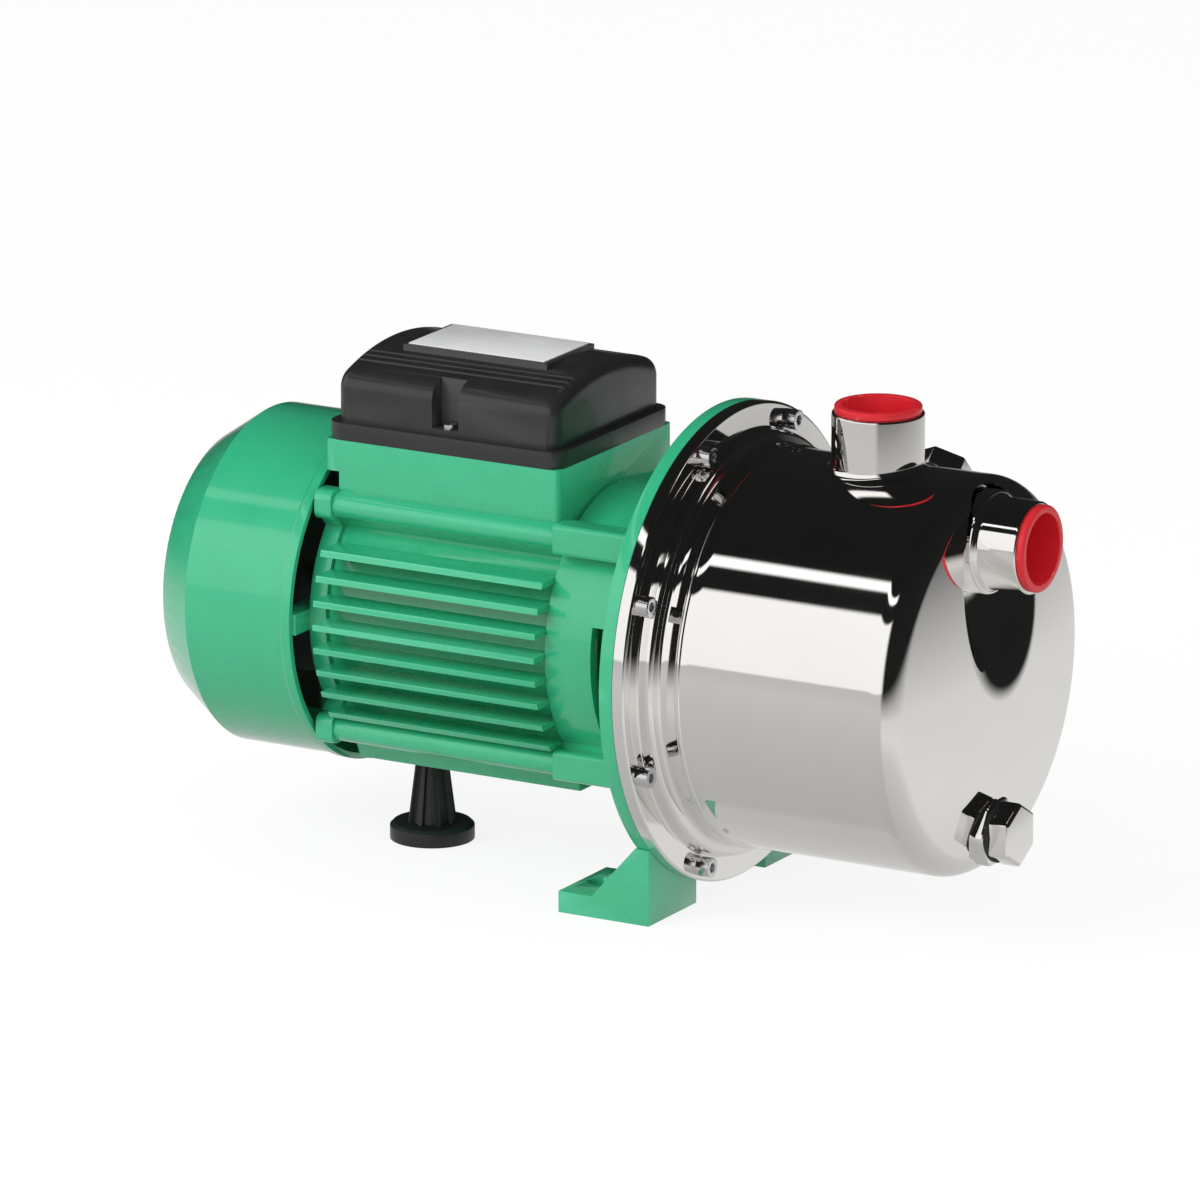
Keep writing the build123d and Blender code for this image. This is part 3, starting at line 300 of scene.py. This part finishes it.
# ---------------------------------------------------------------- CAD parts: edges and finishes
def shading_by_angle(limit):
    """Geometry nodes that shade smooth, apart from edges sharper than the limit."""
    group = bpy.data.node_groups.new("shade_by_angle", "GeometryNodeTree")
    group.interface.new_socket("Geometry", in_out="INPUT", socket_type="NodeSocketGeometry")
    group.interface.new_socket("Geometry", in_out="OUTPUT", socket_type="NodeSocketGeometry")
    start = group.nodes.new("NodeGroupInput")
    end = group.nodes.new("NodeGroupOutput")
    faces = group.nodes.new("GeometryNodeSetShadeSmooth")
    edges = group.nodes.new("GeometryNodeSetShadeSmooth")
    edges.domain = "EDGE"
    edges.inputs["Shade Smooth"].default_value = False
    angle = group.nodes.new("GeometryNodeInputMeshEdgeAngle")
    compare = group.nodes.new("FunctionNodeCompare")
    compare.inputs["B"].default_value = limit
    group.links.new(angle.outputs["Unsigned Angle"], compare.inputs["A"])
    group.links.new(start.outputs[0], faces.inputs["Geometry"])
    group.links.new(faces.outputs[0], edges.inputs["Geometry"])
    group.links.new(compare.outputs["Result"], edges.inputs["Selection"])
    group.links.new(edges.outputs[0], end.inputs[0])
    return group


smooth_group = shading_by_angle(radians(32))
edge_rounds = {
    "front_bracket": 0.9,
    "motor_frame": 0.7,
    "rear_end_shield": 0.6,
    "fan_cover": 0.5,
    "terminal_tray": 0.7,
    "terminal_lid": 0.6,
    "rear_foot": 0.5,
    "drain_plug": 0.5,
    "priming_plug": 0.5,
    "discharge_port_cap": 0.4,
    "suction_port_cap": 0.4,
    "flange_screws": 0.35,
    "nameplate": 0.12,
}


def dress(node, finish, edge=0.0):
    """Give a CAD part its finish, rounded edges and smooth curved faces."""
    part = nodes[node]
    mesh = part.data
    mesh.materials.clear()
    mesh.materials.append(finishes[finish])
    if "custom_normal" in mesh.attributes:
        mesh.attributes.remove(mesh.attributes["custom_normal"])
    weld = part.modifiers.new("weld", "WELD")
    weld.merge_threshold = 2e-6
    if edge:
        flat = part.modifiers.new("flat_faces", "DECIMATE")
        flat.decimate_type = "DISSOLVE"
        flat.angle_limit = radians(0.5)
        rounded = part.modifiers.new("edges", "BEVEL")
        rounded.width = edge * MM
        rounded.segments = 3
        rounded.limit_method = "ANGLE"
        rounded.angle_limit = radians(38)
        rounded.use_clamp_overlap = True
    shading = part.modifiers.new("shading", "NODES")
    shading.node_group = smooth_group


for entry in frame["record"]["subparts"]:
    dress(entry["node"], entry["material_slot"], edge_rounds.get(entry["node"], 0.0))


# ---------------------------------------------------------------- polished casing
def mesh_piece(name, points, faces, finish, body, replaced):
    """New piece from points in metres, riding on a body in the place of a CAD part."""
    mesh = bpy.data.meshes.new(name)
    mesh.from_pydata(points, [], faces)
    mesh.validate()
    mesh.materials.append(finishes[finish])
    piece = bpy.data.objects.new(name, mesh)
    bpy.context.scene.collection.objects.link(piece)
    work = bmesh.new()
    work.from_mesh(mesh)
    bmesh.ops.recalc_face_normals(work, faces=work.faces)
    work.to_mesh(mesh)
    work.free()
    shading = piece.modifiers.new("shading", "NODES")
    shading.node_group = smooth_group
    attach(piece, body)
    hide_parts(replaced)


def arc(centre_x, centre_r, radius, start, end, steps):
    """Points of an arc in the (x, radius) plane; angles in degrees from +x."""
    angles = [radians(start + (end - start) * i / steps) for i in range(steps + 1)]
    return [(centre_x + radius * cos(a), centre_r + radius * sin(a)) for a in angles]


def full_turn(segments):
    """Angles that divide a full turn evenly."""
    return [2 * pi * i / segments for i in range(segments)]


def points_of(rings):
    """All points of the rings, in the order that sheet_of counts them."""
    return [place for ring in rings for place in ring]


def sheet_of(rings, closed):
    """Faces between neighbouring rings; a closed sheet also joins the last ring to the first."""
    count = len(rings[0])
    faces = []
    last = len(rings) if closed else len(rings) - 1
    for i in range(last):
        for j in range(count):
            k = (j + 1) % count
            n = (i + 1) % len(rings)
            faces.append((i * count + j, i * count + k, n * count + k, n * count + j))
    return faces


neck_segments = 192


def lathe(name, outline, origin, axis, side, finish, body, replaced):
    """Turn a closed (length, radius) outline about an axis through the origin."""
    axis = Vector(axis).normalized()
    first = Vector(side).normalized()
    second = axis.cross(first)
    rings = []
    for length, radius in outline:
        ring = []
        for a in full_turn(neck_segments):
            ring.append(origin + (axis * length + (first * cos(a) + second * sin(a)) * radius) * MM)
        rings.append(ring)
    mesh_piece(name, points_of(rings), sheet_of(rings, True), finish, body, replaced)


dome_flat = casing_radius - knuckle
dome_lean = asin(dome_flat / (dome_radius - knuckle))
dome_centre = casing_length - (dome_radius - knuckle) * cos(dome_lean)


def pocket_depth(y, z):
    """How far forward the pocket's surface lies at a place; its taper runs on past its mouth."""

    def outside(t):
        """Above zero where the place lies outside the pocket's oval at this share of its run."""
        half = pocket_radius + pocket_wider * t
        height = pocket_radius + pocket_taller * t
        middle = suction_z - pocket_drop * t
        return (y / half) ** 2 + ((z - middle) / height) ** 2 - 1

    if outside(0) <= 0:
        return pocket_x
    low = 0.0
    high = pocket_overrun
    if outside(high) > 0:
        return pocket_x + pocket_run * high**pocket_easing
    for _ in range(20):
        middle = (low + high) / 2
        if outside(middle) > 0:
            low = middle
        else:
            high = middle
    return pocket_x + pocket_run * low**pocket_easing


def softer_lower(a, b, radius):
    """Smaller of two heights, with a rounded change between them."""
    mix = max(radius - abs(a - b), 0) / radius
    return min(a, b) - mix * mix * radius / 4


def front_of_casing():
    """Outline of the casing's front, from the end of the straight wall almost to the dome's middle."""
    lean = dome_lean * 180 / pi
    outline = arc(casing_length, dome_flat, knuckle, 90, lean, 26)
    steps = 120
    for i in range(1, steps + 1):
        a = dome_lean * (1 - i / (steps + 0.5))
        outline.append((dome_centre + dome_radius * cos(a), dome_radius * sin(a)))
    return outline


def casing_outline():
    """Outer outline of flange and wall, up to the start of the casing's front."""
    flange_edge = 1.4
    rim_fillet = 1.2
    step_edge = 3.0
    step_fillet = 2.2
    bead = 1.25
    outline = [(0.0, flange_radius - 0.4), (0.3, flange_radius)]
    outline += arc(rim_depth - flange_edge, flange_radius - flange_edge, flange_edge, 90, 0, 8)
    outline += arc(rim_depth + rim_fillet, step_radius + rim_fillet, rim_fillet, 180, 270, 6)
    outline += arc(step_depth - step_edge, step_radius - step_edge, step_edge, 90, 20, 10)
    outline += arc(step_depth + step_fillet, casing_radius + step_fillet, step_fillet, 200, 270, 8)
    outline += [(bead_x - 3.2, casing_radius)]
    outline += arc(bead_x - 1.2, casing_radius - 0.3, bead, 150, 30, 8)
    outline += [(bead_x + 0.9, casing_radius)]
    outline += [(bead_x + 4 + i * (casing_length - bead_x - 4.5) / 4, casing_radius) for i in range(5)]
    return outline


def casing_shell():
    """The polished shell as one skin with its pressed pocket."""
    segments = 512
    turn = full_turn(segments)
    rings = []
    for x, radius in casing_outline() + front_of_casing():
        ring = []
        for a in turn:
            y = radius * cos(a)
            z = radius * sin(a)
            forward = x
            if x > casing_length - 0.1:
                forward = softer_lower(x, pocket_depth(y, z), pocket_rim)
            ring.append(point(forward, y, z))
        rings.append(ring)
    points = points_of(rings)
    faces = sheet_of(rings, False)
    # point in the dome's middle
    last = len(points) - segments
    crown = softer_lower(dome_centre + dome_radius, pocket_depth(0, 0), pocket_rim)
    points.append(point(crown))
    faces += [(last + i, last + (i + 1) % segments, len(points) - 1) for i in range(segments)]
    # flat back of the flange
    back = len(points)
    points += [point(0, flange_opening * cos(a), flange_opening * sin(a)) for a in turn]
    faces += [(i, (i + 1) % segments, back + (i + 1) % segments, back + i) for i in range(segments)]
    mesh_piece("casing_shell", points, faces, "polished_steel", "pump_body", "pump_casing")


# rounded end of both necks as (length, radius), with the length counted from the neck's end
lip_outside = 1.0
lip_inside = 0.8
neck_lip = arc(-lip_outside, port_radius - lip_outside, lip_outside, 90, 0, 5)
neck_lip += arc(-lip_inside, port_bore + lip_inside, lip_inside, 0, -90, 5)


def suction_neck():
    """Front neck with its collar, rounded into the floor of the pocket."""
    sunk = 1.5
    root = 1.4
    edge = 1.2
    collar_end = 124.0
    neck_start = 127.0
    outline = [(pocket_x - sunk, port_bore), (pocket_x - sunk, collar_radius + root)]
    outline += arc(pocket_x + root, collar_radius + root, root, 180, 270, 6)
    outline += [(collar_end, collar_radius)]
    outline += arc(collar_end, collar_radius - edge, edge, 90, 0, 5)
    outline += arc(neck_start, port_radius + edge, edge, 200, 270, 5)
    outline += [(suction_end + length, radius) for length, radius in neck_lip]
    lathe(
        "suction_neck",
        outline,
        point(0, 0, suction_z),
        (1, 0, 0),
        (0, 1, 0),
        "polished_steel",
        "pump_body",
        "pump_casing",
    )


def discharge_neck():
    """Top neck, flared into the round wall."""
    flare = 3.4
    sunk = 0.08
    bore_end = 70.0
    turn = full_turn(neck_segments)
    rings = []
    for i in range(11):
        lean = radians(9 * i)
        out = port_radius + flare * (1 - sin(lean))
        rise = flare * (1 - cos(lean))
        ring = []
        for a in turn:
            y = out * sin(a)
            ring.append(point(discharge_x + out * cos(a), y, sqrt(casing_radius**2 - y * y) - sunk + rise))
        rings.append(ring)
    lip = [(discharge_top + length, radius) for length, radius in neck_lip]
    for height, radius in lip + [(bore_end, port_bore)]:
        rings.append([point(discharge_x + radius * cos(a), radius * sin(a), height) for a in turn])
    faces = sheet_of(rings, False)
    mesh_piece("discharge_neck", points_of(rings), faces, "polished_steel", "pump_body", "pump_casing")


def hex_boss(name, seat, up, side, sunk, turn):
    """Hexagon boss with cut corners and a rounded top edge, sunk into the casing."""
    up = Vector(up).normalized()
    first = Vector(side).normalized()
    second = up.cross(first)
    half = boss_across / 2
    corner = half * 1.125
    centre = 0.001
    outline = [
        (-sunk, centre),
        (-sunk, 1.0),
        (boss_height - 0.8, 1.0),
        (boss_height - 0.25, 0.985),
        (boss_height, 0.95),
        (boss_height, centre),
    ]
    rings = []
    for level, share in outline:
        ring = []
        for a in full_turn(72):
            inside = (a + radians(turn)) % (pi / 3) - pi / 6
            reach = min(half / cos(inside), corner) * share
            ring.append(seat + (up * level + (first * cos(a) + second * sin(a)) * reach) * MM)
        rings.append(ring)
    faces = sheet_of(rings, False)
    mesh_piece(name, points_of(rings), faces, "polished_steel", "pump_body", "pump_casing")


def drain_boss():
    """Boss of the drain plug, low on the dome, its axis along the shaft."""
    hex_boss("drain_boss", point(drain_x, 0, drain_z), (1, 0, 0), (0, 1, 0), sunk=8, turn=0)


def priming_boss():
    """Boss of the priming plug, high on the wall, its axis square to the shaft."""
    lean = radians(45)
    up = (0, sin(lean), cos(lean))
    seat = point(priming_x, casing_radius * sin(lean), casing_radius * cos(lean))
    hex_boss("priming_boss", seat, up, (1, 0, 0), sunk=4, turn=30)


casing_shell()
suction_neck()
discharge_neck()
drain_boss()
priming_boss()


# ---------------------------------------------------------------- floor, world, lamps and camera
def calculate(tree, operation, *values):
    """Math node; each value is a number or an output."""
    node = tree.nodes.new("ShaderNodeMath")
    node.operation = operation
    for i, value in enumerate(values):
        if isinstance(value, (int, float)):
            node.inputs[i].default_value = value
        else:
            tree.links.new(value, node.inputs[i])
    return node.outputs[0]


def mix_shaders(tree, share, first, second):
    """Mix of two shader outputs; the share is an output too."""
    node = tree.nodes.new("ShaderNodeMixShader")
    tree.links.new(share, node.inputs["Fac"])
    tree.links.new(first, node.inputs[1])
    tree.links.new(second, node.inputs[2])
    return node.outputs[0]


def floor():
    """Pale floor that keeps the object's shadow and is near white for the camera."""
    half = 6.0
    white_level = 1.1
    white_share = 0.78
    corners = [(-half, -half, 0), (half, -half, 0), (half, half, 0), (-half, half, 0)]
    mesh = bpy.data.meshes.new("floor")
    mesh.from_pydata(corners, [], [(0, 1, 2, 3)])
    piece = bpy.data.objects.new("floor", mesh)
    bpy.context.scene.collection.objects.link(piece)
    piece.visible_glossy = False
    made = bpy.data.materials.new("floor")
    made.use_nodes = True
    tree = made.node_tree
    shader = tree.nodes["Principled BSDF"]
    socket(shader, Base_Color=(0.8, 0.79, 0.77, 1), Roughness=0.9)
    white = tree.nodes.new("ShaderNodeEmission")
    socket(white, Strength=white_level)
    path = tree.nodes.new("ShaderNodeLightPath")
    share = calculate(tree, "MULTIPLY", path.outputs["Is Camera Ray"], white_share)
    mixed = mix_shaders(tree, share, shader.outputs[0], white.outputs[0])
    tree.links.new(mixed, tree.nodes["Material Output"].inputs["Surface"])
    mesh.materials.append(made)


def ramp_of(tree, value, stops):
    """Grey levels along a value from (position, level) pairs."""
    ramp = tree.nodes.new("ShaderNodeValToRGB")
    while len(ramp.color_ramp.elements) < len(stops):
        ramp.color_ramp.elements.new(0.5)
    for element, (position, level) in zip(ramp.color_ramp.elements, stops):
        element.position = position
        element.color = (level, level * 0.992, level * 0.98, 1)
    tree.links.new(value, ramp.inputs["Fac"])
    return ramp.outputs["Color"]


def studio_world():
    """Soft even light; mirrors see a pale floor, a wall of light on one side and dark elsewhere."""
    wall_of_light = (-0.55, -0.835, 0)
    wall_start = 0.42
    wall_full = 0.62
    # grey levels from straight down (0) over the horizon (0.5) to straight up (1)
    lit_levels = [
        (0.0, 0.46),
        (0.30, 0.56),
        (0.42, 0.6),
        (0.498, 0.55),
        (0.503, 1.0),
        (0.800, 1.05),
        (0.812, 0.012),
        (0.872, 0.012),
        (0.878, 1.25),
        (0.896, 1.25),
        (0.902, 0.01),
        (1.0, 0.01),
    ]
    dark_levels = [
        (0.0, 0.5),
        (0.22, 0.62),
        (0.31, 0.76),
        (0.37, 0.72),
        (0.43, 0.4),
        (0.475, 0.1),
        (0.5, 0.014),
        (1.0, 0.01),
    ]
    world = bpy.data.worlds.new("studio")
    bpy.context.scene.world = world
    world.use_nodes = True
    tree = world.node_tree
    tree.nodes.clear()
    out = tree.nodes.new("ShaderNodeOutputWorld")
    path = tree.nodes.new("ShaderNodeLightPath")
    place = tree.nodes.new("ShaderNodeTexCoord")
    split = tree.nodes.new("ShaderNodeSeparateXYZ")
    tree.links.new(place.outputs["Generated"], split.inputs[0])
    height = split.outputs["Z"]
    level = calculate(tree, "MULTIPLY_ADD", height, 0.5, 0.5)
    # how squarely a direction faces the wall of light, whatever its height
    aim = tree.nodes.new("ShaderNodeVectorMath")
    aim.operation = "DOT_PRODUCT"
    aim.inputs[1].default_value = wall_of_light
    tree.links.new(place.outputs["Generated"], aim.inputs[0])
    squared = calculate(tree, "MULTIPLY", height, height)
    flat = calculate(tree, "SQRT", calculate(tree, "SUBTRACT", 1.0001, squared))
    facing = calculate(tree, "DIVIDE", aim.outputs["Value"], flat)
    side = spread(tree, facing, 0, 1, wall_start, wall_full)
    side.node.interpolation_type = "SMOOTHSTEP"
    studio = blend_colours(tree, side, (0, 0, 0), (0, 0, 0))
    tree.links.new(ramp_of(tree, level, dark_levels), studio.inputs["A"])
    tree.links.new(ramp_of(tree, level, lit_levels), studio.inputs["B"])
    shades = {}
    for name, strength in (("soft", 0.62), ("mirror", 1.0), ("camera", 1.0)):
        shade = tree.nodes.new("ShaderNodeBackground")
        socket(shade, Color=(1, 1, 1, 1), Strength=strength)
        shades[name] = shade.outputs[0]
    tree.links.new(studio.outputs["Result"], shades["mirror"].node.inputs["Color"])
    seen = mix_shaders(tree, path.outputs["Is Glossy Ray"], shades["soft"], shades["mirror"])
    seen = mix_shaders(tree, path.outputs["Is Camera Ray"], seen, shades["camera"])
    tree.links.new(seen, out.inputs["Surface"])


def lamp(name, place, size, power):
    """Square soft lamp that faces the object; mirrors don't see it. In metres and watts."""
    middle = point(-30)
    data = bpy.data.lights.new(name, "AREA")
    data.shape = "SQUARE"
    data.size = size
    data.energy = power
    piece = bpy.data.objects.new(name, data)
    piece.location = place
    piece.rotation_euler = (middle - Vector(place)).to_track_quat("-Z", "Y").to_euler()
    piece.visible_glossy = False
    bpy.context.scene.collection.objects.link(piece)


def camera():
    """Very long lens, a little above the object, 60 degrees round from its suction end."""
    turn = radians(29.8)
    drop = radians(15.2)
    distance = 5.042
    shift_left = 0.05536
    shift_up = 0.01676
    right = Vector((cos(turn), sin(turn), 0))
    ahead = Vector((-sin(turn) * cos(drop), cos(turn) * cos(drop), -sin(drop)))
    up = right.cross(ahead)
    data = bpy.data.cameras.new("camera")
    data.lens = 360
    data.sensor_width = 36
    data.clip_end = 50
    piece = bpy.data.objects.new("camera", data)
    place = point(0) - right * shift_left + up * shift_up - ahead * distance
    piece.matrix_world = Matrix.Translation(place) @ Matrix((right, up, -ahead)).transposed().to_4x4()
    bpy.context.scene.collection.objects.link(piece)
    bpy.context.scene.camera = piece


floor()
studio_world()
lamp("key", (-0.9, -1.7, 1.5), 1.2, 26)
lamp("fill", (1.9, -0.9, 1.1), 1.4, 8)
camera()
bpy.context.scene.view_settings.view_transform = "Standard"
